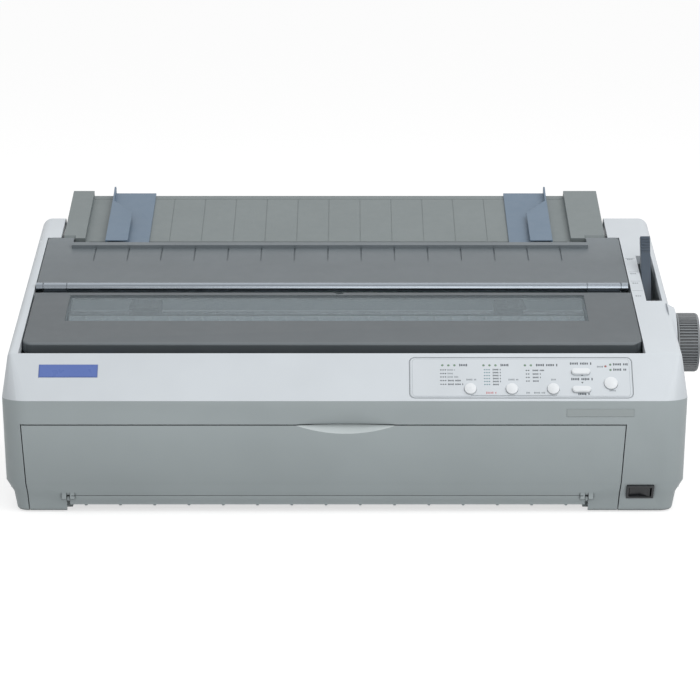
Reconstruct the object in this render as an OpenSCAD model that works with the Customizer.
// Wide-carriage dot matrix printer, built as separate pieces.
// +X is to the right of the person using it, +Y to the rear and +Z up.
// The pieces are drawn from the middle of the case's front edge on the table, and
// place() then moves them so that the origin lies under the middle of the whole printer.

/* [Case] */
// Width of the case at the joint between its two halves
case_w = 639; // [629:1:660]
// Depth of the case at the same joint
case_d = 352; // [350:1:362]
// Height of the joint above the table
joint_z = 108; // [106:1:112]
// Thickness of the moulded case
wall = 3; // [2.6:0.1:3.4]
// Corner radius of the case in plan, front
front_corner_r = 26; // [24:1:34]
// Corner radius of the case in plan, rear
rear_corner_r = 24; // [23:1:34]
// Gap between the case and the table, filled by the rubber feet
foot_gap = 1; // [0.8:0.1:1.4]
// Underside of the raised middle of the case
base_z = 12; // [11:0.5:13]
// Height at which the skirt starts to step in
skirt_z = 29.5; // [29:0.5:31]
// How far the front and sides lean in by that height
skirt_in = 2.5; // [1.5:0.1:3.5]
// Height at which the skirt ends its step
foot_z = 18; // [17.5:0.5:18.5]
// How far the case has stepped in by that height
foot_in = 9.5; // [8.5:0.1:10.5]
// Radius under the edge of the case
foot_r = 3; // [2.5:0.5:5]

/* [Top] */
// Depth of the sloping panel at the front
panel_d = 32; // [31:0.5:33]
// Height of the sloping panel
panel_h = 39.5; // [39:0.5:41]
// Slope of the top, in degrees
top_angle = 15.7; // [15.4:0.1:16]
// Length of the flat top along its slope
top_len = 318; // [317:1:322]
// How far the sides lean in by the top edge
top_in = 4.5; // [3.5:0.5:5.5]
// Radius of the edge between the panel and the top
crease_r = 5; // [4.5:0.5:7]
// Radius of the rear top edge
rear_edge_r = 10; // [8:0.5:11]
// Left edge of the cover opening
open_left = -304.5; // [-305:0.5:-303]
// Right edge of the cover opening
open_right = 280.5; // [279:0.5:281]
// Length of the cover opening along the slope
open_len = 270; // [269.5:0.5:271]
// Gap around the covers and flaps
seam = 1; // [0.8:0.1:1.2]
// Depth of the rim that stiffens the opening
rim_d = 9; // [6:0.5:10]

/* [Covers] */
// Thickness of the smoked covers
cover_t = 3; // [2.5:0.1:3.4]
// Finger gap in front of the front cover
finger_gap = 19; // [18:0.5:21]
// Where the front cover ends along the slope
front_cover_end = 134.5; // [133:0.5:136]
// Where the rod lies along the slope
rod_s = 149.2; // [148.5:0.1:150]
// Depth of the rod's middle below the top surface
rod_depth = 1; // [0.5:0.1:1.5]
// Diameter of the rod
rod_dia = 9.8; // [9.4:0.1:10.2]
// Diameter of the rod's end journals
journal_dia = 6; // [5:0.1:6.4]
// Where the rear cover starts along the slope
rear_cover_start = 156; // [155.5:0.5:157]
// How far the rear cover's middle ends before the opening does
rear_cover_gap = 20; // [19:0.5:21]
// How far the rear cover's hinge lies before the opening's end
rear_hinge_back = 8; // [7.5:0.1:8.5]
// Depth of the rear cover's hinge below the top surface
rear_hinge_depth = 6; // [5.6:0.1:6.4]
// Diameter of the rear cover's hinge pins
rear_pin_dia = 5; // [4:0.1:5.6]
// Middle of the paper path, left or right of the case's middle
path_x = -17.5; // [-18.5:0.5:-16.5]
// Width of the clear window
window_w = 501; // [480:1:504]
// Where the window starts along the slope
window_s = 70; // [68:0.5:72]
// Length of the window along the slope
window_len = 58.5; // [54:0.5:59]
// Thickness of the window
window_t = 1.2; // [1:0.1:1.4]
// Spacing of the ribs on the covers and the paper guide
rib_step = 33.6; // [32:0.1:34.4]
// Number of ribs across
rib_count = 15; // [13:2:15]

/* [Front flap] */
// Left edge of the flap at its top
flap_left = -299.5; // [-300:0.5:-298.5]
// Right edge of the flap at its top
flap_right = 260; // [258:0.5:261]
// Top edge of the flap
flap_top = 84.8; // [83:0.2:86]
// How far each side leans in towards the bottom
flap_lean = 5.6; // [5:0.1:6]
// Bottom of the corner tabs
flap_low = 1.5; // [1.4:0.1:2.4]
// Bottom of the middle of the flap
flap_mid_low = 7.4; // [7:0.1:7.8]
// Width of each corner tab
tab_w = 36; // [34:0.5:38]
// Thickness of the flap
flap_t = 3; // [2.6:0.1:3.4]
// Height of the flap's hinge above the table
flap_hinge_z = 13.4; // [13.2:0.1:13.8]
// Distance of the flap's hinge behind the front of the case
flap_hinge_y = 13.5; // [13.2:0.1:14]
// Diameter of the flap's hinge pins
flap_pin_dia = 4; // [3.4:0.1:4.4]
// Width of the finger recess
recess_w = 92; // [80:1:100]
// Depth of the recess in the top edge of the flap
recess_h = 8; // [7:0.2:9]

/* [Control panel] */
// Left edge of the control panel
keys_left = 60; // [58:0.5:64]
// Right edge of the control panel
keys_right = 267; // [264:0.5:268]
// Distance of the control panel from the joint, up the slope
keys_low = 3; // [2.5:0.1:3.5]
// Height of the control panel, up the slope
keys_h = 43; // [42:0.5:43.5]
// Thickness of the control panel's plate
keys_t = 1.4; // [1.2:0.1:1.6]
// Diameter of the small round buttons
button_dia = 11; // [10:0.1:11.6]
// Diameter of the large round button
large_button_dia = 12.6; // [12:0.1:13.4]
// Width of the oval buttons
oval_w = 17.4; // [16:0.1:18]
// Height of the oval buttons
oval_h = 6.4; // [6:0.1:6.6]
// How far the buttons stand out
button_rise = 3; // [2.4:0.1:3.4]
// How far the buttons travel
button_travel = 0.8; // [0.5:0.1:0.9]
// Clearance around the buttons
button_gap = 0.3; // [0.2:0.05:0.4]
// Diameter of the indicator lights
light_dia = 2.2; // [1.8:0.1:2.4]

/* [Knob and lever] */
// Distance of the roller's axis behind the front of the case
platen_y = 135; // [134:0.5:136]
// Height of the roller's axis
platen_z = 139.4; // [139:0.2:140]
// Diameter of the roller
platen_dia = 32; // [30:0.5:32.4]
// Length of the roller
platen_len = 455; // [430:1:456]
// Diameter of the roller's shaft
shaft_dia = 8; // [7:0.1:8.4]
// Diameter of the knob
knob_dia = 57; // [52:0.5:58]
// Width of the knob
knob_w = 21; // [18:0.5:23]
// Number of ribs on the knob
knob_ribs = 60; // [48:1:64]
// Gap between the knob and the case
knob_gap = 1; // [0.8:0.1:1.6]
// Left edge of the lever's slot
slot_left = 292.9; // [292.5:0.1:293.5]
// Right edge of the lever's slot
slot_right = 308.4; // [307.8:0.1:308.6]
// Where the slot starts along the slope
slot_start = 115.6; // [114:0.2:117]
// Where the slot ends along the slope
slot_end = 223.5; // [223:0.1:225]
// Distance of the lever's pivot behind the front of the case
lever_y = 175; // [174:0.5:176]
// Height of the lever's pivot
lever_z = 105; // [104:0.5:106]
// Length of the lever above its pivot
lever_len = 134; // [130:0.5:138]
// Lean of the lever as it stands, in degrees above the rear
lever_angle = 69.8; // [69.4:0.1:70.2]
// Thickness of the lever's blade
lever_t = 9.4; // [8:0.1:10]

/* [Paper guide] */
// Distance of the guide's front edge behind the front of the case
guide_y = 296; // [295.5:0.5:297]
// Height of the guide's side bars at that edge
guide_z = 221; // [220.6:0.2:222]
// Slope of the guide, in degrees
guide_angle = 18.3; // [18:0.1:18.6]
// Length of the guide along its slope
guide_len = 112; // [106:1:116]
// Left edge of the guide
guide_left = -288.6; // [-289:0.2:-288]
// Right edge of the guide
guide_right = 266.4; // [265:0.2:267]
// Width of the left side bar
bar_left_w = 22; // [20:0.5:24]
// Width of the right side bar
bar_right_w = 35; // [33:0.5:36]
// Height of the side bars above the floor
bar_h = 6.5; // [6:0.1:7]
// Thickness of the guide's floor
guide_t = 2.5; // [2:0.1:2.8]
// Depth of the guide's hinge below its side bars
guide_hinge_depth = 12.5; // [12:0.1:13]
// Where the guide's hinge lies along its slope
guide_hinge_t = 16; // [15.5:0.1:17]
// Width of each edge guide's plate
edge_w = 44; // [40:0.5:46]
// Width of each edge guide's lip
edge_lip = 23; // [20:0.5:25]
// Outer face of the left edge guide
edge_left = -245.3; // [-247:0.1:-243]
// Outer face of the right edge guide
edge_right = 212; // [210:0.5:214]

/* [Mechanism] */
// Outer face of the left side plate
plate_left = -288; // [-288.5:0.5:-287]
// Outer face of the right side plate
plate_right = 264; // [263:0.5:265]
// Thickness of the steel plates
steel_t = 2; // [1.6:0.1:2.2]
// Height of the steel base plate's underside
pan_z = 20; // [19.5:0.5:21]
// Module of the gears, pitch diameter over teeth
gear_m = 1.5; // [1.48:0.01:1.5]
// Width of the gears
gear_w = 7; // [5:0.5:7.5]
// Distance of the tractor's drive shaft behind the front of the case
tractor_y = 205; // [204.5:0.5:206]
// Height of the tractor's drive shaft
tractor_z = 148; // [147.5:0.5:149]
// Distance between the tractor's two shafts
tractor_span = 50; // [48:1:52]
// Running clearance of shafts in their holes, each side
run_gap = 0.06; // [0.04:0.01:0.08]
// Distance of the carriage shaft behind the front of the case
rail_y = 85; // [84.5:0.5:85.5]
// Height of the carriage shaft
rail_z = 100; // [99.5:0.5:100.5]
// Diameter of the carriage shaft
rail_dia = 10; // [9:0.1:10.4]
// Distance of the timing belt's middle behind the front of the case
belt_y = 66; // [65.5:0.5:66.5]
// Height of the timing belt's lower edge
belt_z = 85; // [84.5:0.5:85.5]
// Width of the timing belt
belt_w = 6; // [5:0.5:6]
// Radius of the belt's pulleys
pulley_r = 6.4; // [5.8:0.1:6.6]
// Width of the carriage
carriage_w = 56; // [50:1:58]
// Where the carriage stands across the printer
carriage_x = -60; // [-70:1:-50]

/* [Hidden] */

$fn = 64;
far = 1000;
sliver = 0.01;
land = 0.2;
platen_teeth = 28;
pinion_teeth = 16;
idler_teeth = 26;
tractor_teeth = 18;
pinion_angle = -100;
panel_angle = atan2(panel_h, panel_d);
face_lean = atan2(skirt_in, joint_z - skirt_z);
skirt_lean = atan2(foot_in - skirt_in, skirt_z - foot_z);
top_z = joint_z + panel_h;
floor_z = base_z + wall;
half_w = case_w / 2;
tab_left = flap_left + flap_lean + tab_w;
tab_right = flap_right - flap_lean - 0.8 * tab_w;
cover_left = open_left + seam;
cover_right = open_right - seam;
window_left = path_x - window_w / 2;
window_right = path_x + window_w / 2;
rib_x0 = path_x - rib_step * (rib_count - 1) / 2;
knob_x = half_w + knob_gap;
knob_end = knob_x + knob_w;
guide_floor = -bar_h;
floor_left = guide_left + bar_left_w;
floor_right = guide_right - bar_right_w;
guide_end_y = guide_y + guide_len * cos(guide_angle) + (bar_h + guide_t + 2) * sin(guide_angle);
platen_r = platen_dia / 2;
gear_x = plate_left - 8 - gear_w;
screw_x = half_w - 18.5;
screw_ys = [58, case_d - 40];
screw_shank = 4;
knob_boss_r = 34;
knob_hub_d = 22;
hinge_boss_d = 11;
hinge_boss_w = 7;
pin_out = 5.5;
guide_pin_dia = 5;
guide_gap = 2.5;
ear_left_w = 26;
ear_right_w = 33;
ear_r = 4.5;
rear_cover_end = open_len - rear_cover_gap;
rear_hinge_s = open_len - rear_hinge_back;
ear_swing = sqrt(pow(open_len - 1 - rear_hinge_s, 2) + pow(rear_hinge_depth, 2));
tear_h = 3.6;
badge_x = -284.2;
badge_w = 54.7;
badge_s = 24.9;
badge_h = 13.4;
badge_sink = 0.6;
foot_wall = 22;
flap_depth = 29;
foot_xs = [-half_w + 42, half_w - 42];
foot_ys = [50, case_d - 50];
foot_pad = 19;
pan_xs = [-270, -90, 90, 245];
pan_ys = [75, case_d - 52];
plate_x = 205.3;
plate_w = 62;
plate_low = -14.7;
plate_h = 7.1;
plate_sink = 0.7;
switch_x = 275;
switch_w = 25;
switch_low = -17.4;
switch_h = 15.4;
rocker_in = 3;
rocker_tilt = 6;
inlet_x = -262;
inlet_w = 28;
inlet_h = 21;
inlet_z = 34;
ports_x = 70;
ports_w = 140;
ports_z = 30;
ports_h = 30;
recess_x = 1;
round_keys = [[116.3, 12.4], [154.7, 12.4], [193, 12.4]];
large_key = [246.5, 18.3];
oval_keys = [[219.1, 30.3], [219.1, 11.7]];
lights = [[90.7, 37.5], [96.3, 37.5], [101.9, 37.5], [128.9, 37.5], [134.5, 37.5], [140.1, 37.5],
    [167.4, 37.5], [173, 37.5], [242.3, 36.4], [246.8, 38.2], [246.8, 32.6]];
board_posts = [[77, 8], [77, 34], [258, 8], [226, 41]];
board_h = -10.4;
switch_top = -9.1;

// ---- helpers ----

// Height of the top surface above the table, y behind the front of the case.
function top_at(y) = top_z + (y - panel_d) * tan(top_angle);
// How far the lower case has stepped in at a height z.
function inset_at(z) = z >= skirt_z ? skirt_in * (joint_z - z) / (joint_z - skirt_z)
    : z >= foot_z ? foot_in + (skirt_in - foot_in) * (z - foot_z) / (skirt_z - foot_z)
    : foot_in + 0.19 * (foot_z - z);
// How far the flap's sides have leaned in at a height z.
function lean_at(z) = flap_lean * (flap_top - z) / (flap_top - flap_low);

// The whole printer, moved so that its footprint's middle is the origin.
module place() translate([-(knob_end - half_w) / 2, -guide_end_y / 2, 0]) children();
// The top surface: x across, y up the slope and z out of it.
module on_top() translate([0, panel_d, top_z]) rotate([top_angle, 0, 0]) children();
// The sloping panel: x across, y up the slope from the joint and z out of it.
module on_panel() translate([0, 0, joint_z]) rotate([panel_angle, 0, 0]) children();
// The front face: x across, z up it from the joint and y into the case.
module on_face() translate([0, 0, joint_z]) rotate([face_lean, 0, 0]) children();
// The skirt's step, in the same way from its top edge.
module on_skirt() translate([0, skirt_in, skirt_z]) rotate([skirt_lean, 0, 0]) children();
// The paper guide: x across, y up its slope and z out of it.
module on_guide() translate([0, guide_y, guide_z]) rotate([guide_angle, 0, 0]) children();
// A block between two x, two y and two z.
module block(x0, x1, y0, y1, z0, z1) translate([x0, y0, z0]) cube([x1 - x0, y1 - y0, z1 - z0]);
// A round bar along x.
module bar_x(d, x0, x1, y, z) translate([x0, y, z]) rotate([0, 90, 0]) cylinder(d = d, h = x1 - x0);
// A round bar along y.
module bar_y(d, x, y0, y1, z) translate([x, y1, z]) rotate([90, 0, 0]) cylinder(d = d, h = y1 - y0);
// A round bar along z.
module bar_z(d, x, y, z0, z1) translate([x, y, z0]) cylinder(d = d, h = z1 - z0);
// An outline in y and z, drawn out along x.
module along_x(x0, x1) translate([x0, 0, 0]) rotate([90, 0, 90]) linear_extrude(x1 - x0) children();
// An outline in x and z, drawn out along y.
module along_y(y0, y1) translate([0, y1, 0]) rotate([90, 0, 0]) linear_extrude(y1 - y0) children();
// A rectangle with round corners.
module round_rect(x0, x1, y0, y1, r) {
    translate([x0 + r, y0]) square([x1 - x0 - 2 * r, y1 - y0]);
    translate([x0, y0 + r]) square([x1 - x0, y1 - y0 - 2 * r]);
    for (x = [x0 + r, x1 - r], y = [y0 + r, y1 - r]) translate([x, y]) circle(r = r);
}

// Angle of a gear's tooth so that it fits between the teeth of one that drives it.
function mate(turn, n1, phase, n2) = turn + 180 - (180 + n1 * (phase - turn)) / n2;
// Distance between the axes of two gears.
function apart(n1, n2) = gear_m * (n1 + n2) / 2;
// Angle of an involute at a radius r over its base circle.
function unroll(r, rb) = sqrt(r * r / (rb * rb) - 1) * 180 / PI - atan(sqrt(r * r / (rb * rb) - 1));
// Half a tooth's angle at a radius r.
function half_tooth(n, r, play) =
    let (rp = gear_m * n / 2, rb = rp * cos(20))
    (PI * gear_m / 2 - play) / (2 * rp) * 180 / PI + unroll(rp, rb) - unroll(max(r, rb), rb);
// Outline of a spur gear with involute teeth.
module teeth_2d(n, phase, play = 0.14) {
    rp = gear_m * n / 2;
    ra = rp + 0.9 * gear_m;
    rf = rp - 1.15 * gear_m;
    rs = [rf, rp * cos(20), rp * 0.98, rp, rp + 0.45 * gear_m, ra];
    polygon([for (i = [0 : n - 1], j = [0 : 11])
        let (r = j < 6 ? rs[j] : rs[11 - j], a = half_tooth(n, r, play) * (j < 6 ? -1 : 1))
        [r * cos(phase + i * 360 / n + a), r * sin(phase + i * 360 / n + a)]]);
}
// A gear on an axis along x, with a thinner web.
module gear_x_axis(n, phase, x, y, z, bore) difference() {
    translate([0, y, z]) along_x(x, x + gear_w) difference() {
        teeth_2d(n, phase);
        circle(d = bore);
    }
    if (n > 17) for (x1 = [x - 1, x + gear_w - 1.6]) difference() {
        bar_x(gear_m * (n - 5), x1, x1 + 2.6, y, z);
        bar_x(bore + 7, x1 - 1, x1 + 4, y, z);
    }
}
idler_far = norm([tractor_y - platen_y, tractor_z - platen_z]);
idler_along = (pow(apart(platen_teeth, idler_teeth), 2) - pow(apart(idler_teeth, tractor_teeth), 2)
    + idler_far * idler_far) / (2 * idler_far);
idler_turn = atan2(tractor_z - platen_z, tractor_y - platen_y)
    - acos(idler_along / apart(platen_teeth, idler_teeth));
idler_y = platen_y + apart(platen_teeth, idler_teeth) * cos(idler_turn);
idler_z = platen_z + apart(platen_teeth, idler_teeth) * sin(idler_turn);
tractor_turn = atan2(tractor_z - idler_z, tractor_y - idler_y);
idler_phase = mate(idler_turn, platen_teeth, 0, idler_teeth);
tractor_phase = mate(tractor_turn, idler_teeth, idler_phase, tractor_teeth);
pinion_phase = mate(pinion_angle, platen_teeth, 0, pinion_teeth);
pinion_y = platen_y + apart(platen_teeth, pinion_teeth) * cos(pinion_angle);
pinion_z = platen_z + apart(platen_teeth, pinion_teeth) * sin(pinion_angle);
rail_y2 = tractor_y + tractor_span;

// ---- case ----

// One thin level of the case, stepped in by an inset.
module level(z, inset) for (side = [-1, 1]) {
    translate([side * (half_w - front_corner_r), front_corner_r, z])
        cylinder(r = front_corner_r - inset, h = land, $fn = 32);
    translate([side * (half_w - rear_corner_r), case_d - rear_corner_r, z])
        cylinder(r = rear_corner_r - inset, h = land, $fn = 32);
}

crease_back = crease_r / cos((panel_angle - top_angle) / 2);
crease_y = panel_d + crease_back * sin((panel_angle + top_angle) / 2);
crease_z = top_z - crease_back * cos((panel_angle + top_angle) / 2);

// The form of the upper case, t in from its outside.
module top_form(t) hull() {
    level(joint_z - (t > 0 ? 2 * land : 0), t);
    for (side = [-1, 1]) {
        translate([side * (half_w - top_in - crease_r), crease_y, crease_z])
            sphere(r = crease_r - t, $fn = 32);
        translate([side * (half_w - top_in - rear_edge_r), 0, 0]) on_top()
            translate([0, top_len, -rear_edge_r]) sphere(r = rear_edge_r - t, $fn = 32);
    }
}

// A screw boss tied to the side wall.
module case_boss(side, y, z0, z1, bore) difference() {
    union() {
        bar_z(11, side * screw_x, y, z0, z1);
        translate([side > 0 ? screw_x : -half_w + wall * 0.8, y - 2, z0])
            cube([half_w - wall * 0.8 - screw_x, 4, z1 - z0]);
    }
    bar_z(bore, side * screw_x, y, z0 - 1, z1 + 1);
}

module upper_case() color("#ccd4dc") difference() {
    union() {
        difference() {
            top_form(0);
            top_form(wall);
            on_top() translate([0, 0, -wall * 6]) linear_extrude(far) {
                translate([open_left, -0.2]) square([open_right - open_left, open_len - seam - ear_r + 0.2]);
                round_rect(open_left, open_right, open_len / 2, open_len, seam + ear_r);
            }
            on_top() block(guide_left - guide_gap, guide_right + guide_gap, open_len - 4, far,
                -wall * 3, far);
            on_guide() block(guide_left - guide_gap, guide_right + guide_gap, 20, far, -24, far);
            on_top() block(slot_left, slot_right, slot_start, slot_end + 0.4, -wall * 4, far);
            on_top() bar_x(2 * ear_swing + 0.8, open_left, open_right, rear_hinge_s, -rear_hinge_depth);
        }
        opening_rims();
        intersection() {
            translate([half_w - 8, platen_y, platen_z]) rotate([0, 90, 0])
                cylinder(r1 = knob_boss_r + 4, r2 = knob_boss_r, h = 7.4);
            block(0, far, 0, far, joint_z, far);
        }
        for (side = [-1, 1], y = screw_ys) intersection() {
            case_boss(side, y, joint_z, joint_z + 18, screw_shank);
            top_form(sliver);
        }
        for (x = [open_left - hinge_boss_w, open_right]) on_top()
            bar_x(hinge_boss_d, x, x + hinge_boss_w, rear_hinge_s, -rear_hinge_depth);
        for (x = [guide_left - guide_gap - hinge_boss_w, guide_right + guide_gap]) on_guide()
            bar_x(hinge_boss_d, x, x + hinge_boss_w, guide_hinge_t, -guide_hinge_depth);
        on_panel() for (p = board_posts) bar_z(7, p[0], p[1], board_h, -wall / 2);
    }
    bar_x(knob_hub_d + 2, half_w - 20, far, platen_y, platen_z);
    on_top() bar_x(rear_pin_dia + 2 * run_gap, open_left - pin_out - 0.5, open_right + pin_out + 0.5,
        rear_hinge_s, -rear_hinge_depth);
    on_guide() bar_x(guide_pin_dia + 2 * run_gap, guide_left - guide_gap - pin_out,
        guide_right + guide_gap + pin_out, guide_hinge_t, -guide_hinge_depth);
    on_panel() {
        translate([0, 0, -keys_t]) linear_extrude(far)
            round_rect(keys_left - 0.3, keys_right + 0.3, keys_low - 0.3, keys_low + keys_h + 0.3, 5.3);
        translate([0, 0, -wall * 2]) linear_extrude(wall * 3) key_holes(button_gap + 0.2);
        block(badge_x - 0.15, badge_x + badge_w + 0.15, badge_s - 0.15, badge_s + badge_h + 0.15,
            -badge_sink, far);
    }
    on_top() for (s = [slot_start + 23.6, slot_start + 46.1, slot_start + 68.3, slot_end - 6.7])
        block(open_right + 1.2, slot_left - 1, s, s + 0.7, -0.4, 1);
}

// Down-turned rims round the cover opening, the guide and the lever's slot.
module opening_rims() on_top() {
    for (x = [open_left - 2, open_right]) block(x, x + 2, 8, open_len, -rim_d, -wall / 2);
    for (x = [guide_left - guide_gap - 2, guide_right + guide_gap])
        block(x, x + 2, open_len + 4.5, top_len - 6, -rim_d - 9, -wall / 2);
    for (x = [slot_left - 1.5, slot_right])
        block(x, x + 1.5, slot_start - 1.5, slot_end + 1.9, -rim_d, -wall / 2);
    for (s = [slot_start - 1.5, slot_end + 0.4])
        block(slot_left - 1.5, slot_right + 1.5, s, s + 1.5, -rim_d, -wall / 2);
}

// The outside of the lower case: a foot under a taller body.
module tub_form() {
    hull() {
        for (a = [0, 30, 60, 90])
            level(foot_gap + foot_r * (1 - cos(a)), inset_at(foot_gap + foot_r) + foot_r * (1 - sin(a)));
        level(foot_z, foot_in);
    }
    hull() {
        level(foot_z, foot_in);
        level(skirt_z, skirt_in);
        level(joint_z - land, 0);
    }
}
module tub_cavity() {
    hull() {
        level(floor_z, inset_at(floor_z) + wall);
        level(foot_z, foot_in + wall);
    }
    hull() {
        level(foot_z - land, foot_in + wall);
        level(skirt_z, skirt_in + wall);
        level(joint_z + 1, wall);
    }
}
// The flap's outline, g larger all round, down to a height.
module flap_outline(g, low) polygon([
    [flap_left - g, flap_top + g],
    [flap_right + g, flap_top + g],
    [flap_right + g - lean_at(low), low],
    [flap_left - g + lean_at(low), low]]);
// A slanting cut for a finger, as high and as deep as given in its middle; side is 1 above the
// flap's top edge and -1 below it.
module scoop(side, high, deep) {
    sink = high * deep / norm([high, deep]);
    r = (recess_w * recess_w / 4 + sink * sink) / (2 * sink);
    translate([recess_x, inset_at(flap_top), flap_top + (side > 0 ? seam : 0)])
        rotate([-side * atan2(high, deep), 0, 0])
            bar_y(2 * r, 0, -30, 30, side * (sink - r), $fn = 180);
}

module lower_case() color("#98a1a1") difference() {
    union() {
        difference() {
            tub_form();
            tub_cavity();
            block(tab_left + 2, tab_right - 2, -1, far, -1, base_z);
            for (x = [[-half_w + foot_wall, tab_left - 2], [tab_right + 2, half_w - foot_wall]])
                block(x[0], x[1], flap_depth + 4, case_d - 34, -1, base_z);
            along_y(-1, flap_depth) flap_outline(seam, -5);
        }
        intersection() {
            tub_form();
            along_y(1, 20) difference() {
                flap_outline(seam + 2, floor_z - 1);
                flap_outline(seam, -5);
            }
        }
        block(recess_x - recess_w / 2 - 3, recess_x + recess_w / 2 + 3, 1.5, 8,
            flap_top + seam, flap_top + recess_h + 5);
        for (x = pan_xs, y = pan_ys) bar_z(12, x, y, floor_z - 1, pan_z);
        for (x = foot_xs, y = foot_ys) bar_z(foot_pad + 5, x, y, foot_gap + 1.5, base_z + 1);
        for (side = [-1, 1], y = screw_ys)
            case_boss(side, y, floor_z - 1, joint_z - sliver, screw_shank + 0.4);
        for (x = [tab_left, tab_right]) {
            bar_x(6.4, x - 1.2, x + 1.2, flap_hinge_y, flap_hinge_z);
            block(x - 1.2, x + 1.2, flap_hinge_y, flap_depth + 6, base_z + 0.5, flap_hinge_z + 3.2);
        }
    }
    for (side = [-1, 1], y = screw_ys) bar_z(9.4, side * screw_x, y, -1, joint_z - 16);
    for (x = foot_xs, y = foot_ys) bar_z(foot_pad, x, y, -1, foot_gap + 3);
    for (x = [tab_left, tab_right])
        bar_x(flap_pin_dia + 2 * run_gap, x - 3, x + 3, flap_hinge_y, flap_hinge_z);
    on_face() block(plate_x - 0.1, plate_x + plate_w + 0.1, -1, plate_sink, plate_low - 0.1,
        plate_low + plate_h + 0.1);
    intersection() {
        for (cut = [[1.3, 0.24], [0.9, 0.37], [0.58, 0.46], [0.32, 0.52]])
            scoop(1, recess_h * cut[0], recess_h * cut[1]);
        block(-far, far, -5, 30, flap_top + seam - sliver, joint_z - 3);
    }
    on_skirt() block(switch_x - switch_w / 2 - 0.1, switch_x + switch_w / 2 + 0.1, -9, 12,
        switch_low - 0.1, switch_low + switch_h + 0.1);
    block(inlet_x, inlet_x + inlet_w, case_d - 10, far, inlet_z, inlet_z + inlet_h);
    block(ports_x, ports_x + ports_w, case_d - 10, far, ports_z, ports_z + ports_h);
    for (i = [0 : 11]) block(-60 + i * 9, -56 + i * 9, case_d - 10, far, 48, 86);
    for (x = [-far, half_w - 12], i = [0 : 9])
        block(x, x + far - half_w + 12, 190 + i * 9, 194 + i * 9, 52, 84);
}

module front_flap() color("#8e9696") difference() {
    union() {
        difference() {
            intersection() {
                tub_form();
                along_y(-1, flap_depth - 2) difference() {
                    flap_outline(0, flap_low);
                    translate([tab_left - 1.6, 0]) square([tab_right - tab_left + 3.2, flap_mid_low]);
                    for (x = [tab_left, tab_right])
                        translate([x - 1.6, 0]) square([3.2, flap_hinge_z + 3.7]);
                }
            }
            translate([0, flap_t, 0]) tub_form();
        }
        translate([0, inset_at(flap_top), flap_top - 0.05])
            along_x(recess_x - recess_w / 2 - 3, recess_x + recess_w / 2 + 3) polygon([[0.5, 0],
                [recess_h + 3.5, 0], [recess_h + 3.5, -0.8], [2.5, -recess_h - 1.8],
                [0.5, -recess_h - 3.8]]);
        for (x = [tab_left - 6, tab_left + 1.8, tab_right - 6, tab_right + 1.8]) {
            bar_x(7, x, x + 4.2, flap_hinge_y, flap_hinge_z);
            block(x, x + 4.2, inset_at(flap_hinge_z + 9) + 1.5, flap_hinge_y + 2.4,
                flap_hinge_z, flap_hinge_z + 9);
        }
        for (x = [tab_left, tab_right]) bar_x(flap_pin_dia, x - 4, x + 4, flap_hinge_y, flap_hinge_z);
        for (i = [0 : rib_count - 1])
            translate([path_x + (i - (rib_count - 1) / 2) * 0.953 * rib_step, inset_at(flap_mid_low), 0])
                block(-1.2, 1.2, 0.8, flap_t + 1.5, flap_mid_low - 1.2, flap_mid_low + 6);
    }
    scoop(-1, recess_h, recess_h);
    block(tab_left + 3, tab_right - 3, -9, inset_at(foot_z) + 0.8, foot_z - 2, foot_z - 1.4);
}

// ---- covers ----

// The front cover's outline, g in from its sides and front.
module cover_outline(g) {
    translate([cover_left + g, finger_gap + 10]) square([cover_right - cover_left - 2 * g, 300]);
    translate([cover_left + 10, finger_gap + g]) square([cover_right - cover_left - 20, 50]);
    for (x = [cover_left + 10, cover_right - 10]) translate([x, finger_gap + 10]) circle(r = 10 - g);
}
sleeves = [[cover_left + 7.5, cover_left + 30], [cover_right - 41.5, cover_right - 9]];

module printer_cover() color("#7b8387") on_top() difference() {
    union() {
        difference() {
            translate([0, 0, -rim_d - 1]) linear_extrude(rim_d + 1) cover_outline(0);
            translate([0, 0, -rim_d - 5]) linear_extrude(rim_d + 5 - cover_t) cover_outline(2.5);
            block(-far, far, front_cover_end, far, -far, far);
        }
        for (s = sleeves) {
            along_x(s[0], s[1]) polygon([[front_cover_end - 6, 0.1 - cover_t],
                [front_cover_end, 0.1 - cover_t], [front_cover_end + 2, -cover_t - 1.5],
                [rod_s, -cover_t - 1.5], [rod_s, -cover_t - 3.5], [front_cover_end - 6, -cover_t - 3.5]]);
            bar_x(rod_dia, s[0], s[1], rod_s, -rod_depth);
        }
        block(window_left - 4, window_right + 4, window_s - 4, window_s - 1, -cover_t - 1.5, -1);
    }
    for (s = sleeves) bar_x(journal_dia + 2 * run_gap, s[0] - 1, s[1] + 1, rod_s, -rod_depth);
    block(window_left, window_right, window_s, window_s + window_len, -window_t - 0.3, 1);
    block(window_left + 3, window_right - 3, window_s + 3, window_s + window_len - 3, -far, 1);
    bar_z(9, path_x + 12, front_cover_end + 1, -far, far);
}

module cover_window() color("#4a5256", 0.5) on_top() block(window_left + 0.1, window_right - 0.1,
    window_s + 0.1, window_s + window_len - 0.1, -window_t - 0.3, -0.3);

// The rear cover's plate at one side of the guide, round at its outer corner.
module ear(x0, x1, corner_x) translate([0, 0, -cover_t]) linear_extrude(cover_t) {
    translate([x0, rear_cover_end - 8]) square([x1 - x0, open_len - ear_r - rear_cover_end + 7]);
    translate([corner_x == x0 + ear_r ? corner_x : x0, rear_cover_end - 8])
        square([x1 - x0 - ear_r, open_len - rear_cover_end + 7]);
    translate([corner_x, open_len - 1 - ear_r]) circle(r = ear_r);
}

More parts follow.
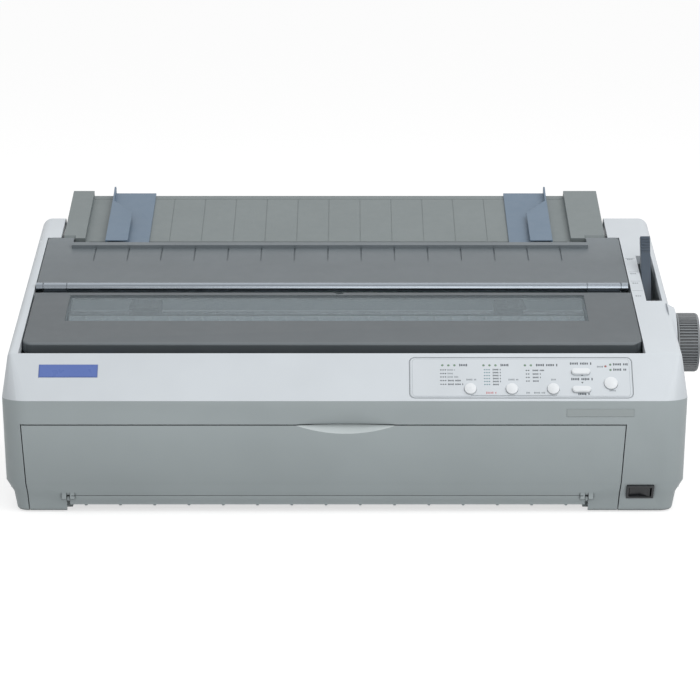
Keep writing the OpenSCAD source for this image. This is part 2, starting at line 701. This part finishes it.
module rear_cover() color("#7b8387") on_top() difference() {
    union() {
        block(cover_left, cover_right, rear_cover_start, rear_cover_end - 5, -cover_t, 0);
        ear(cover_left, cover_left + ear_left_w, cover_left + ear_r);
        ear(cover_right - ear_right_w, cover_right, cover_right - ear_r);
        block(cover_left, cover_right, rear_cover_start, rear_cover_start + 2, -cover_t - 3, -1);
        for (step = [[7.6, 0, tear_h - 2.4, tear_h], [7.6, 5, -cover_t, tear_h], [2.2, 0, -cover_t, tear_h]])
            block(cover_left + ear_left_w, cover_right - ear_right_w, rear_cover_end - step[0],
                rear_cover_end - step[1], step[2], step[3]);
        for (x = [cover_left, cover_right - 2.5]) {
            block(x, x + 2.5, rear_cover_start, open_len - 2 - ear_r, -rim_d, -1);
            bar_x(10, x, x + 2.5, rear_hinge_s, -rear_hinge_depth);
        }
        for (x = [cover_left + 0.2, cover_right - 8]) {
            block(x, x + 6.4, rod_s, rear_cover_start + 4, -rod_depth - 3, 0);
            bar_x(rod_dia, x, x + 6.4, rod_s, -rod_depth);
        }
        bar_x(rear_pin_dia, cover_left - seam - pin_out, cover_left + 2, rear_hinge_s, -rear_hinge_depth);
        bar_x(rear_pin_dia, cover_right - 2, cover_right + seam + pin_out, rear_hinge_s, -rear_hinge_depth);
    }
    bar_x(journal_dia, cover_left - 1, cover_right + 1, rod_s, -rod_depth);
    for (i = [0 : rib_count - 1])
        block(rib_x0 + i * rib_step - 0.7, rib_x0 + i * rib_step + 0.7, rear_cover_end - 38,
            rear_cover_end - 7, -cover_t * 0.45, tear_h - 0.8);
}

module hinge_rod() color("#9aa0a4") on_top() {
    bar_x(rod_dia, sleeves[0][1] + 0.4, sleeves[1][0] - 0.4, rod_s, -rod_depth);
    bar_x(journal_dia, cover_left + 0.6, cover_right - 2, rod_s, -rod_depth);
}

// ---- paper guide ----

module paper_guide() color("#879090") on_guide() difference() {
    union() {
        block(guide_left, guide_right, 0, guide_len, guide_floor - guide_t, guide_floor);
        block(guide_left, floor_left, 0, guide_len - 1.5, guide_floor - guide_t, 0);
        block(floor_right, guide_right, 0, guide_len - 1.5, guide_floor - guide_t, 0);
        block(nose_left, nose_right, -guide_nose, 1, guide_floor - guide_t, guide_floor);
        block(nose_left, floor_left, -guide_nose, 1, guide_floor - guide_t, 0);
        block(floor_right, nose_right, -guide_nose, 1, guide_floor - guide_t, 0);
        block(floor_left, floor_right, guide_len - 3, guide_len, guide_floor - guide_t - 2, guide_floor);
        block(floor_left, floor_right, 5, 7, guide_floor - guide_t - 3, guide_floor);
        for (x = [guide_left, guide_right - 5]) {
            bar_x(11, x, x + 5, guide_hinge_t, -guide_hinge_depth);
            block(x, x + 5, guide_hinge_t - 5.5, guide_hinge_t + 5.5, -guide_hinge_depth, guide_floor);
        }
        bar_x(guide_pin_dia, guide_left - guide_gap - pin_out + 0.5, guide_left + 4, guide_hinge_t,
            -guide_hinge_depth);
        bar_x(guide_pin_dia, guide_right - 4, guide_right + guide_gap + pin_out - 0.5, guide_hinge_t,
            -guide_hinge_depth);
    }
    for (x = [[-far, nose_left], [nose_right, far]])
        rotate([45, 0, 0]) block(x[0], x[1], -far, 2.1, -2.1, far);
    for (x = [guide_left, floor_right]) block(x + 2.5, x - 2.5 + (x < 0 ? bar_left_w : bar_right_w),
        8, guide_len - 4, guide_floor - guide_t - 1, -2.5);
    for (i = [0 : 10]) translate([floor_left + 85.8 + i * rib_step * 0.973, 0, 0])
        block(-0.4, 0.4, 2.5, guide_len - 8.3, guide_floor - 0.5, guide_floor + 1);
    block(floor_left, floor_right, guide_len - 8.6, guide_len - 8, guide_floor - 0.4, guide_floor + 1);
    block(floor_left + 3, floor_right - 3, groove_t - 1.5, groove_t + 1.5, -far, far);
}
guide_nose = 3.8;
edge_reach = 12.5;
nose_left = cover_left + ear_left_w + seam;
nose_right = cover_right - ear_right_w - seam;
groove_t = 0;

// An edge guide; side is -1 on the left and 1 on the right.
module edge_guide(x, side) on_guide() translate([x, 0, 0]) mirror([side > 0 ? 1 : 0, 0, 0]) {
    block(0, edge_w, -edge_reach, guide_len + 2.5, guide_floor + 0.2, guide_floor + 2);
    translate([0, 0, 0.6]) linear_extrude(1.4) polygon([[0, -edge_reach],
        [edge_lip, -edge_reach], [edge_lip, 52], [1, 84], [0, 84]]);
    along_x(0, 1.8) polygon([[-edge_reach, guide_floor + 1], [-edge_reach, 2], [88, 2],
        [102, 2.4], [guide_len - 2, 3.8], [guide_len + 1, 3.8], [guide_len + 2.5, 2],
        [guide_len + 2.5, guide_floor + 1]]);
    block(4, edge_w - 4, groove_t - 1.3, groove_t + 1.3, guide_floor - guide_t - 0.2, guide_floor + 1);
    block(4, edge_w - 4, groove_t - 2.5, groove_t + 4, guide_floor - guide_t - 2,
        guide_floor - guide_t - 0.2);
}
module edge_guide_left() color("#7d92aa") edge_guide(edge_left, -1);
module edge_guide_right() color("#7d92aa") edge_guide(edge_right, 1);

// ---- control panel ----

// The holes of the buttons and lights, each g larger all round.
module key_holes(g) {
    for (p = round_keys) translate(p) circle(d = button_dia + 2 * g);
    translate(large_key) circle(d = large_button_dia + 2 * g);
    for (p = oval_keys) oval_2d(p, g);
    for (p = lights) translate(p) circle(d = light_dia + 0.1);
}
module oval_2d(p, g) {
    translate([p[0] - (oval_w - oval_h) / 2, p[1] - oval_h / 2 - g])
        square([oval_w - oval_h, oval_h + 2 * g]);
    for (side = [-1, 1]) translate([p[0] + side * (oval_w - oval_h) / 2, p[1]]) circle(d = oval_h + 2 * g);
}

module control_panel() color("#dfe5ea") on_panel() difference() {
    union() {
        translate([0, 0, -keys_t]) linear_extrude(keys_t)
            round_rect(keys_left, keys_right, keys_low, keys_low + keys_h, 5);
        linear_extrude(0.3) round_rect(keys_left + 1.6, keys_right - 1.6, keys_low + 1.6,
            keys_low + keys_h - 1.6, 3.6);
    }
    translate([0, 0, -far / 2]) linear_extrude(far) key_holes(button_gap);
    block(117.6, 195, keys_low + 2.6, keys_low + 3, 0, 1);
}

// A round button with a domed cap, its collar under the case and its stem over a switch.
module round_button(p, d) on_panel() translate([p[0], p[1], 0]) {
    intersection() {
        bar_z(d, 0, 0, -wall - 1, button_rise);
        translate([0, 0, button_rise - 1.5 * d]) sphere(d = 3 * d);
    }
    bar_z(d + 2.4, 0, 0, -wall - 1.5, -wall - 0.2);
    bar_z(4, 0, 0, -8, -wall - 1);
}
module oval_button(p) on_panel() {
    translate([0, 0, -wall - 1]) linear_extrude(wall + 1 + button_rise - 0.6) oval_2d(p, 0);
    translate([0, 0, button_rise - 1]) linear_extrude(1) oval_2d(p, -0.6);
    translate([0, 0, -wall - 1.5]) linear_extrude(1.3) oval_2d(p, 1.2);
    bar_z(4, p[0], p[1], -8, -wall - 1);
}
module button_left() color("#dfe4e8") round_button(round_keys[0], button_dia);
module button_middle() color("#dfe4e8") round_button(round_keys[1], button_dia);
module button_right() color("#dfe4e8") round_button(round_keys[2], button_dia);
module button_large() color("#dfe4e8") round_button(large_key, large_button_dia);
module button_upper() color("#dfe4e8") oval_button(oval_keys[0]);
module button_lower() color("#dfe4e8") oval_button(oval_keys[1]);

module indicator_lights() color("#7fa67c") on_panel() for (p = lights) {
    bar_z(light_dia, p[0], p[1], -9, 0.4);
    bar_z(light_dia + 1, p[0], p[1], -9, -8);
}

module panel_board() color("#2e6b48") on_panel() difference() {
    union() {
        block(72, 262, 4, 45, board_h - 1.6, board_h);
        for (p = concat(round_keys, [large_key], oval_keys))
            block(p[0] - 3, p[0] + 3, p[1] - 3, p[1] + 3, board_h, switch_top);
        for (p = lights) bar_z(light_dia + 0.8, p[0], p[1], board_h, -9);
        block(150, 172, 38, 43, board_h - 7, board_h - 1.6);
    }
    for (p = board_posts) bar_z(3, p[0], p[1], -far, 0);
}

module badge_plate() color("#5f6fae") on_panel() {
    block(badge_x, badge_x + badge_w, badge_s, badge_s + badge_h, -badge_sink, 0.3);
    block(badge_x + 0.8, badge_x + badge_w - 0.8, badge_s + 0.8, badge_s + badge_h - 0.8, 0, 0.6);
}

module name_plate() color("#a3abab") on_face()
    block(plate_x, plate_x + plate_w, -0.3, plate_sink, plate_low, plate_low + plate_h);

// ---- power switch ----

module switch_bezel() color("#26282b") on_skirt() difference() {
    block(switch_x - switch_w / 2, switch_x + switch_w / 2, -2, 12, switch_low, switch_low + switch_h);
    block(switch_x - switch_w / 2 + 2, switch_x + switch_w / 2 - 2, -far, 10, switch_low + 2,
        switch_low + switch_h - 2);
    translate([switch_x, rocker_in, switch_low + 0.7]) cylinder(d = 3 + 2 * run_gap, h = switch_h - 1.4);
}

module rocker_switch() color("#1d1f22") on_skirt() translate([switch_x, rocker_in, 0])
    rotate([0, 0, -rocker_tilt]) {
        translate([0, 0, switch_low + 2.3]) linear_extrude(switch_h - 4.6) polygon([[-9.5, -4], [0, -2.2],
            [9.5, -4], [9.5, 0.5], [3, 4], [-3, 4], [-9.5, 0.5]]);
        translate([0, 0, switch_low + 1]) cylinder(d = 3, h = switch_h - 2);
    }

// ---- platen and lever ----

module platen_knob() color("#74777a") difference() {
    union() {
        bar_x(knob_dia - 2.4, knob_x, knob_end, platen_y, platen_z);
        bar_x(knob_dia - 0.4, knob_x, knob_x + 1.6, platen_y, platen_z);
        bar_x(knob_dia - 0.8, knob_end - 2.2, knob_end - 0.8, platen_y, platen_z);
        translate([0, platen_y, platen_z]) along_x(knob_x + 1.5, knob_end - 2.1) polygon([
            for (i = [0 : 4 * knob_ribs - 1])
                let (a = i * 90 / knob_ribs, r = knob_dia / 2 - (i % 4 > 1 ? 1.3 : 0))
                [r * cos(a), r * sin(a)]]);
        bar_x(knob_hub_d, knob_x - 11, knob_end - 3, platen_y, platen_z);
    }
    difference() {
        bar_x(knob_dia - 8, knob_x - 1, knob_end - 3, platen_y, platen_z);
        bar_x(knob_hub_d, knob_x - 2, knob_end, platen_y, platen_z);
    }
    bar_x(shaft_dia, 0, knob_x + 15, platen_y, platen_z);
    bar_x(knob_dia - 14, knob_end - 0.6, knob_end + 1, platen_y, platen_z);
}

module platen_shaft() color("#b8bcc0") {
    bar_x(shaft_dia, gear_x - 3, knob_x + 15, platen_y, platen_z);
    for (x = [platen_x0 - 6, platen_x0 + platen_len])
        bar_x(shaft_dia + 10, x, x + 6, platen_y, platen_z);
}
platen_x0 = path_x - platen_len / 2;
module platen_roller() color("#2c2d2f") difference() {
    bar_x(platen_dia, platen_x0, platen_x0 + platen_len, platen_y, platen_z);
    bar_x(shaft_dia, -far, far, platen_y, platen_z);
}
module shaft_bushes() color("#d8d3c4") for (x = [plate_left, plate_right - steel_t],
        p = [[platen_y, platen_z, shaft_dia], [tractor_y, tractor_z, shaft_dia]]) difference() {
    union() {
        bar_x(13, x - 1.2, x + steel_t + 1.2, p[0], p[1]);
        bar_x(17, x + steel_t, x + steel_t + 1.4, p[0], p[1]);
    }
    bar_x(p[2] + 2 * run_gap, x - 3, x + steel_t + 3, p[0], p[1]);
}

module platen_gear() color("#e4e0d2") gear_x_axis(platen_teeth, 0, gear_x, platen_y, platen_z, shaft_dia);
module idler_gear() color("#e4e0d2")
    gear_x_axis(idler_teeth, idler_phase, gear_x, idler_y, idler_z, 6 + 2 * run_gap);
module feed_pinion() color("#c9a86a") {
    gear_x_axis(pinion_teeth, pinion_phase, gear_x, pinion_y, pinion_z, 3.9);
    bar_x(4, gear_x - 1, plate_left + 24, pinion_y, pinion_z);
}
module feed_motor() color("#8d9195") difference() {
    union() {
        bar_x(42, plate_left + steel_t, plate_left + 36, pinion_y, pinion_z);
        bar_x(38, plate_left + 36, plate_left + 38, pinion_y, pinion_z);
        bar_x(11, plate_left - 2, plate_left + 5, pinion_y, pinion_z);
        for (a = [40, 220]) translate([plate_left + steel_t, pinion_y, pinion_z]) rotate([a, 0, 0])
            block(0, 2, 0, 27, -6, 6);
        block(plate_left + 18, plate_left + 32, pinion_y - 7, pinion_y + 7, pinion_z - 25, pinion_z);
    }
    bar_x(4 + 2 * run_gap, -far, plate_left + 26, pinion_y, pinion_z);
}

module lever_stud() color("#b8bcc0") {
    bar_x(8, plate_right, slot_right - 2.2, lever_y, lever_z);
    bar_x(12, plate_right, lever_x - lever_t / 2 - 0.4, lever_y, lever_z);
}
lever_x = slot_left + 1.4 + lever_t / 2;
module release_lever() color("#4b5b6c") difference() {
    union() {
        bar_x(22, lever_x - lever_t / 2, lever_x + lever_t / 2, lever_y, lever_z);
        translate([lever_x, lever_y, lever_z]) rotate([lever_angle, 0, 0]) {
            block(-lever_t / 2, lever_t / 2, 0, lever_len - 18, -6, 5);
            block(-lever_t / 2, lever_t / 2, lever_len - 42, lever_len, -4.5, 3.5);
            for (i = [0 : 6])
                block(-lever_t / 2 + 0.4, lever_t / 2 - 0.4, lever_len - 21 + i * 3,
                    lever_len - 19.6 + i * 3, 3, 4.3);
        }
    }
    bar_x(8 + 2 * run_gap, -far, far, lever_y, lever_z);
}

// ---- frame ----

module chassis() color("#a9adb0") difference() {
    union() {
        block(plate_left, plate_right, 42, case_d - 16, pan_z, pan_z + steel_t);
        block(plate_left + steel_t, plate_right - steel_t, 42, 42 + steel_t, pan_z, pan_z + 12);
        block(plate_left + 14, plate_right - 14, case_d - 16 - steel_t, case_d - 16, pan_z, pan_z + 9);
        for (b = [[plate_left + 26, motor_x + 24, -1], [idler_x - 12, idler_x + 18, 1]]) {
            block(b[0], b[1], belt_y - 24, belt_y + 22, belt_z - 7, belt_z - 5);
            translate([b[2] < 0 ? b[0] : b[1] - steel_t, belt_y - 24, pan_z])
                cube([steel_t, 46, belt_z - 6 - pan_z]);
        }
        bar_z(5, idler_x, belt_y, belt_z - 6, belt_z + belt_w + 2);
        bar_z(9, idler_x, belt_y, belt_z - 6, belt_z - 1.6);
        for (x = [-50, 95, 238], y = [200, 325]) bar_z(7, x, y, pan_z, board_z);
        for (x = [-262, -100], y = [210, 320]) bar_z(7, x, y, pan_z, board_z);
    }
    for (x = pan_xs, y = pan_ys) bar_z(4, x, y, 0, pan_z + 3);
    bar_z(11, motor_x, belt_y, belt_z - 9, belt_z - 3);
    for (i = [0 : 7]) block(-190 + i * 45, -170 + i * 45, 120, 160, 0, pan_z + 3);
}
motor_x = -235;
idler_x = 208;
board_z = 34;

// A steel side plate; x is its outer face and side points away from the middle.
module side_plate(x) difference() {
    union() {
        along_x(x, x + steel_t) polygon([[42, pan_z + steel_t], [42, 118], [62, 134],
            [112, top_at(112) - 15], [285, top_at(285) - 15], [292, top_at(285) - 22], [292, 110], [240, 60],
            [240, pan_z + steel_t]]);
        translate([x < 0 ? x : x - 12 + steel_t, 46, pan_z + steel_t]) cube([12, 190, steel_t]);
    }
    for (p = [[platen_y, platen_z], [tractor_y, tractor_z]]) bar_x(13, -far, far, p[0], p[1]);
    bar_x(rail_dia, -far, far, rail_y, rail_z);
    bar_x(6, -far, far, rail_y2, tractor_z);
    along_x(x - 5, x + 9) round_rect(150, 220, 60, 84, 8);
}
module side_plate_left() color("#a9adb0") difference() {
    union() {
        side_plate(plate_left);
        bar_x(10, gear_x + gear_w + 0.4, plate_left + 1, idler_y, idler_z);
        bar_x(6, gear_x - 1, plate_left + 1, idler_y, idler_z);
    }
    bar_x(11, -far, far, pinion_y, pinion_z);
}
module side_plate_right() color("#a9adb0") side_plate(plate_right - steel_t);

module carriage_shaft() color("#c3c7ca") difference() {
    bar_x(rail_dia, plate_left - 4, plate_right + 4, rail_y, rail_z);
    for (x = [plate_left - 1.6, plate_right + 0.6]) difference() {
        bar_x(rail_dia + 4, x, x + 1, rail_y, rail_z);
        bar_x(rail_dia - 1.6, x - 1, x + 2, rail_y, rail_z);
    }
}
module carriage_rail() color("#a9adb0") {
    block(plate_left + steel_t, plate_right - steel_t, 44, 46, rail_z - 8, rail_z + 8);
    block(plate_left + steel_t, plate_right - steel_t, 44, 58, rail_z + 6, rail_z + 8);
}
module tractor_rail() color("#c3c7ca") bar_x(6, plate_left - 3, plate_right + 3, rail_y2, tractor_z);

// ---- carriage ----

module carriage() color("#3a3c3f") difference() {
    union() {
        block(carriage_x - carriage_w / 2, carriage_x + carriage_w / 2, 74, 112, rail_z - 6.5, rail_z + 11);
        block(carriage_x - carriage_w / 2, carriage_x + carriage_w / 2, 62, 80, rail_z + 8.4, rail_z + 11);
        bar_x(20, carriage_x - carriage_w / 2, carriage_x + carriage_w / 2, rail_y, rail_z);
        block(carriage_x - 14, carriage_x + 14, 47, 64, rail_z + 8.1, rail_z + 10.6);
        block(carriage_x - 9, carriage_x + 9, belt_y + pulley_r - 3, belt_y + pulley_r + 8,
            belt_z + 0.5, rail_z);
        for (x = [carriage_x - 24, carriage_x + 20]) block(x, x + 4, 78, 110, rail_z + 10, rail_z + 24);
    }
    bar_x(rail_dia + 2 * run_gap, -far, far, rail_y, rail_z);
    block(-far, far, belt_y + pulley_r - 0.3, belt_y + pulley_r + 1.7, -far, belt_z + belt_w + 0.4);
}

module print_head() color("#4a4d50") difference() {
    union() {
        block(carriage_x - 19.7, carriage_x + 19.7, 79, 108, rail_z + 11, rail_z + 44);
        block(carriage_x - 6, carriage_x + 6, 106, platen_y - platen_r - 1.9, platen_z - 9, platen_z + 9);
        block(carriage_x - 10, carriage_x + 10, 100, 110, platen_z - 15, platen_z + 13);
    }
    for (i = [0 : 4]) block(carriage_x - 17.5 + i * 7.6, carriage_x - 13.9 + i * 7.6, 70, 104,
        rail_z + 26, rail_z + 50);
}

module ribbon_cartridge() color("#232527") difference() {
    union() {
        block(platen_x0, platen_x0 + platen_len, 44, 60, rail_z + 12, rail_z + 34);
        for (x = [platen_x0, platen_x0 + platen_len - 12]) {
            block(x, x + 12, 59, 110, rail_z + 22, rail_z + 34);
            block(x + 3, x + 9, 108, ribbon_y + 0.3, platen_z - 13, platen_z - 0.6);
        }
        block(platen_x0 + 5, platen_x0 + platen_len - 5, ribbon_y, ribbon_y + 0.3,
            platen_z - 13, platen_z - 0.6);
        block(plate_left + steel_t, platen_x0 + 1, 47, 57, rail_z + 12, rail_z + 20);
        block(platen_x0 + platen_len - 1, plate_right - steel_t, 47, 57, rail_z + 12, rail_z + 20);
    }
    bar_z(5 + 2 * run_gap, platen_x0 + 20, 52, rail_z + 27, rail_z + 40);
    for (i = [0 : 5])
        block(platen_x0 + 60 + i * 60, platen_x0 + 95 + i * 60, 46, 58, rail_z + 33.2, rail_z + 40);
}
ribbon_y = platen_y - platen_r - 1.6;
module ribbon_knob() color("#2f5fa0") difference() {
    union() {
        bar_z(14, platen_x0 + 20, 52, rail_z + 34.3, rail_z + 38.6);
        bar_z(5, platen_x0 + 20, 52, rail_z + 28, rail_z + 36);
    }
    for (a = [0 : 45 : 315]) translate([platen_x0 + 20, 52, rail_z + 34]) rotate([0, 0, a])
        translate([7.8, 0, 0]) cylinder(d = 3.4, h = 9);
}

module carriage_motor() color("#8d9195") difference() {
    union() {
        bar_z(42, motor_x, belt_y, belt_z - 46, belt_z - 7);
        bar_z(11, motor_x, belt_y, belt_z - 8, belt_z - 4.6);
        bar_z(36, motor_x, belt_y, belt_z - 48, belt_z - 45);
        block(motor_x - 7, motor_x + 7, belt_y + 12, belt_y + 24, belt_z - 44, belt_z - 32);
    }
    bar_z(4 + 2 * run_gap, motor_x, belt_y, belt_z - 32, belt_z);
}
// A toothed belt pulley with two flanges.
module pulley(x) {
    translate([x, belt_y, belt_z - 0.6]) linear_extrude(belt_w + 1.2) polygon([for (i = [0 : 63])
        let (r = pulley_r - (i % 4 > 1 ? 0.7 : 0)) [r * cos(i * 5.625), r * sin(i * 5.625)]]);
    for (z = [belt_z - 1.4, belt_z + belt_w + 0.4]) bar_z(2 * pulley_r + 4, x, belt_y, z, z + 1);
}
module drive_pulley() color("#c9cdd0") {
    pulley(motor_x);
    bar_z(4, motor_x, belt_y, belt_z - 30, belt_z + belt_w + 2);
}
module idle_pulley() color("#e4e0d2") difference() {
    pulley(idler_x);
    bar_z(5 + 2 * run_gap, idler_x, belt_y, -far, far);
}
module belt_loop(r) {
    for (x = [motor_x, idler_x]) translate([x, belt_y]) circle(r = r);
    translate([motor_x, belt_y - r]) square([idler_x - motor_x, 2 * r]);
}
module timing_belt() color("#1d1e20") translate([0, 0, belt_z]) linear_extrude(belt_w) difference() {
    belt_loop(pulley_r + 1.3);
    belt_loop(pulley_r + 0.1);
}

// ---- paper path ----

module tension_bar() color("#b4babd") {
    block(plate_left + steel_t, plate_right - steel_t, 163, 177, 149, 151);
    block(plate_left + steel_t, plate_right - steel_t, 175, 177, 149, 158);
    for (i = [0 : 29]) translate([path_x + (i - 14.5) * rib_step * 0.488, 0, 0])
        block(-0.9, 0.9, 163, 177, 150, 158);
}

// One tractor, set to one side of the paper.
module tractor(x, side) difference() {
    union() {
        along_x(x - 13, x + 13) round_rect(tractor_y - 12, rail_y2 + 12, tractor_z - 9, tractor_z + 11, 8);
        for (i = [0 : 3]) bar_z(3.2, x - side * 4, tractor_y + 7 + i * 12, tractor_z + 10, tractor_z + 13.4);
        for (y = [tractor_y - 1, rail_y2 - 3])
            translate([x + side * 13, 0, 0]) {
                bar_y(4.4, side * 1.5, y, y + 4, hinge_z);
                translate([side > 0 ? -3 : 0, y, tractor_z + 8]) cube([3, 4, hinge_z - tractor_z - 8]);
                translate([side > 0 ? -3 : -1.4, y, hinge_z - 2.4]) cube([4.4, 4, 2.4]);
            }
    }
    for (p = [[tractor_y, shaft_dia], [rail_y2, 6]]) bar_x(p[1] + 2 * run_gap, -far, far, p[0], tractor_z);
    bar_y(2 + 2 * run_gap, x + side * 14.5, -far, far, hinge_z);
    along_x(x - 9, x + 9) round_rect(tractor_y + 10, rail_y2 - 9, tractor_z - 12, tractor_z + 7, 3);
}
hinge_z = tractor_z + 13.8;
module tractor_cover(x, side) difference() {
    union() {
        translate([x, 0, 0]) mirror([side > 0 ? 0 : 1, 0, 0]) {
            block(-13, 12.8, tractor_y - 2, rail_y2 + 3, tractor_z + 11.4, tractor_z + 13.8);
            bar_y(4.4, 14.5, tractor_y + 3.3, rail_y2 - 3.3, hinge_z);
            block(10, 14.5, tractor_y + 3.3, rail_y2 - 3.3, hinge_z - 1.6, hinge_z + 0.8);
            bar_y(2, 14.5, tractor_y, rail_y2 + 0.6, hinge_z);
        }
    }
    for (i = [0 : 3]) bar_z(5.4, x - side * 4, tractor_y + 7 + i * 12, -far, far);
    for (y = [tractor_y - 1.3, rail_y2 - 3.3]) difference() {
        block(x + (side > 0 ? 9.6 : -18), x + (side > 0 ? 18 : -9.6), y, y + 4.6, hinge_z - 3, hinge_z + 3);
        bar_y(2, x + side * 14.5, y - 1, y + 6, hinge_z);
    }
}
module tractor_lock(x, side) difference() {
    union() {
        bar_x(13, min(x + side * 13.3, x + side * 16.3), max(x + side * 13.3, x + side * 16.3),
            rail_y2, tractor_z);
        translate([side > 0 ? x + 13.3 : x - 16.3, rail_y2, tractor_z - 3]) rotate([25, 0, 0])
            cube([3, 20, 6]);
    }
    bar_x(6 + 2 * run_gap, -far, far, rail_y2, tractor_z);
}
tractor_x1 = platen_x0 + 46;
tractor_x2 = platen_x0 + platen_len - 46;
module tractor_left() color("#3c3f42") tractor(tractor_x1, -1);
module tractor_right() color("#3c3f42") tractor(tractor_x2, 1);
module tractor_cover_left() color("#55585c") tractor_cover(tractor_x1, -1);
module tractor_cover_right() color("#55585c") tractor_cover(tractor_x2, 1);
module tractor_lock_left() color("#2f5fa0") tractor_lock(tractor_x1, -1);
module tractor_lock_right() color("#2f5fa0") tractor_lock(tractor_x2, 1);
module tractor_shaft() color("#b8bcc0") {
    bar_x(shaft_dia, gear_x - 1, plate_right + 4, tractor_y, tractor_z);
    gear_x_axis(tractor_teeth, tractor_phase, gear_x, tractor_y, tractor_z, shaft_dia - 0.2);
}

// ---- electrics ----

module main_board() color("#2e6b48") {
    block(-60, 250, 190, case_d - 18, board_z, board_z + 1.6);
    for (c = [[0, 240, 40, 40, 3], [70, 230, 24, 24, 2.4], [120, 240, 14, 34, 3.2], [150, 240, 14, 34, 3.2],
            [200, 220, 30, 18, 16], [-45, 215, 12, 50, 10], [0, 205, 60, 7, 9], [90, 200, 40, 7, 9]])
        translate([c[0], c[1], board_z + 1.5]) cube([c[2], c[3], c[4]]);
    for (x = [-30, -16, 20, 44]) bar_z(11, x, 308, board_z + 1.5, board_z + 20);
}

module power_supply() color("#9b8f5a") {
    block(-272, -90, 200, case_d - 22, board_z, board_z + 1.6);
    translate([-190, 225, board_z + 1.5]) cube([52, 60, 36]);
    translate([-184, 219, board_z + 6]) cube([40, 72, 26]);
    for (x = [-255, -228]) bar_z(24, x, 235, board_z + 1.5, board_z + 32);
    for (x = [-120, -104]) bar_z(12, x, 300, board_z + 1.5, board_z + 24);
    translate([-130, 210, board_z + 1.5]) cube([30, 60, 3]);
    translate([-127, 212, board_z + 4]) cube([3, 56, 26]);
    translate([-108, 212, board_z + 4]) cube([3, 56, 26]);
}

module rear_connectors() color("#2a2c2f") {
    difference() {
        block(inlet_x + 0.15, inlet_x + inlet_w - 0.15, case_d - 20, case_d - 1.2, inlet_z + 0.15,
            inlet_z + inlet_h - 0.15);
        block(inlet_x + 2.5, inlet_x + inlet_w - 2.5, case_d - 15, far, inlet_z + 2.5,
            inlet_z + inlet_h - 2.5);
    }
    for (p = [[0, 2.6], [-6.5, -1.6], [6.5, -1.6]])
        translate([inlet_x + inlet_w / 2 + p[0], 0, inlet_z + inlet_h / 2 + p[1]])
            block(-1, 1, case_d - 16, case_d - 5, -2, 2);
    difference() {
        block(ports_x + 0.15, ports_x + ports_w - 0.15, case_d - 5, case_d - 3.6, ports_z + 0.15,
            ports_z + ports_h - 0.15);
        block(ports_x + 6, ports_x + 66, case_d - 8, case_d, ports_z + 8, ports_z + 22);
        block(ports_x + 75, ports_x + 86, case_d - 8, case_d, ports_z + 9, ports_z + 19);
    }
    difference() {
        block(ports_x + 5, ports_x + 67, case_d - 17, case_d - 1.5, ports_z + 7, ports_z + 23);
        block(ports_x + 8, ports_x + 64, case_d - 12, far, ports_z + 10, ports_z + 20);
    }
    block(ports_x + 14, ports_x + 58, case_d - 13, case_d - 3, ports_z + 13.4, ports_z + 16.6);
    difference() {
        block(ports_x + 74, ports_x + 87, case_d - 17, case_d - 2, ports_z + 8, ports_z + 20);
        block(ports_x + 75, ports_x + 86, case_d - 12, far, ports_z + 9, ports_z + 19);
    }
    for (x = [ports_x + 98, ports_x + ports_w - 8]) bar_y(6, x, case_d - 4.6, case_d - 2.4, ports_z + 15);
}

module rubber_feet() color("#1b1c1e") for (x = foot_xs, y = foot_ys) {
    bar_z(foot_pad - 0.2, x, y, 0.8, foot_gap + 3);
    translate([x, y, 0]) cylinder(d1 = foot_pad - 2.2, d2 = foot_pad - 0.2, h = 0.8);
}

module case_screws() color("#aeb2b5") for (side = [-1, 1], y = screw_ys) difference() {
    union() {
        bar_z(8.4, side * screw_x, y, joint_z - 19.2, joint_z - 16);
        bar_z(screw_shank, side * screw_x, y, joint_z - 17, joint_z + 15);
    }
    for (a = [0, 90]) translate([side * screw_x, y, joint_z - 19.2]) rotate([0, 0, a])
        block(-2.6, 2.6, -0.6, 0.6, -1, 1.6);
}

place() lower_case();
place() upper_case();
place() front_flap();
place() printer_cover();
place() cover_window();
place() rear_cover();
place() hinge_rod();
place() paper_guide();
place() edge_guide_left();
place() edge_guide_right();
place() control_panel();
place() button_left();
place() button_middle();
place() button_right();
place() button_large();
place() button_upper();
place() button_lower();
place() indicator_lights();
place() panel_board();
place() badge_plate();
place() name_plate();
place() switch_bezel();
place() rocker_switch();
place() platen_knob();
place() platen_roller();
place() platen_shaft();
place() shaft_bushes();
place() platen_gear();
place() idler_gear();
place() feed_pinion();
place() feed_motor();
place() release_lever();
place() lever_stud();
place() chassis();
place() side_plate_left();
place() side_plate_right();
place() carriage_shaft();
place() carriage_rail();
place() carriage();
place() print_head();
place() ribbon_cartridge();
place() ribbon_knob();
place() carriage_motor();
place() drive_pulley();
place() idle_pulley();
place() timing_belt();
place() tension_bar();
place() tractor_left();
place() tractor_right();
place() tractor_cover_left();
place() tractor_cover_right();
place() tractor_lock_left();
place() tractor_lock_right();
place() tractor_shaft();
place() tractor_rail();
place() main_board();
place() power_supply();
place() rear_connectors();
place() rubber_feet();
place() case_screws();
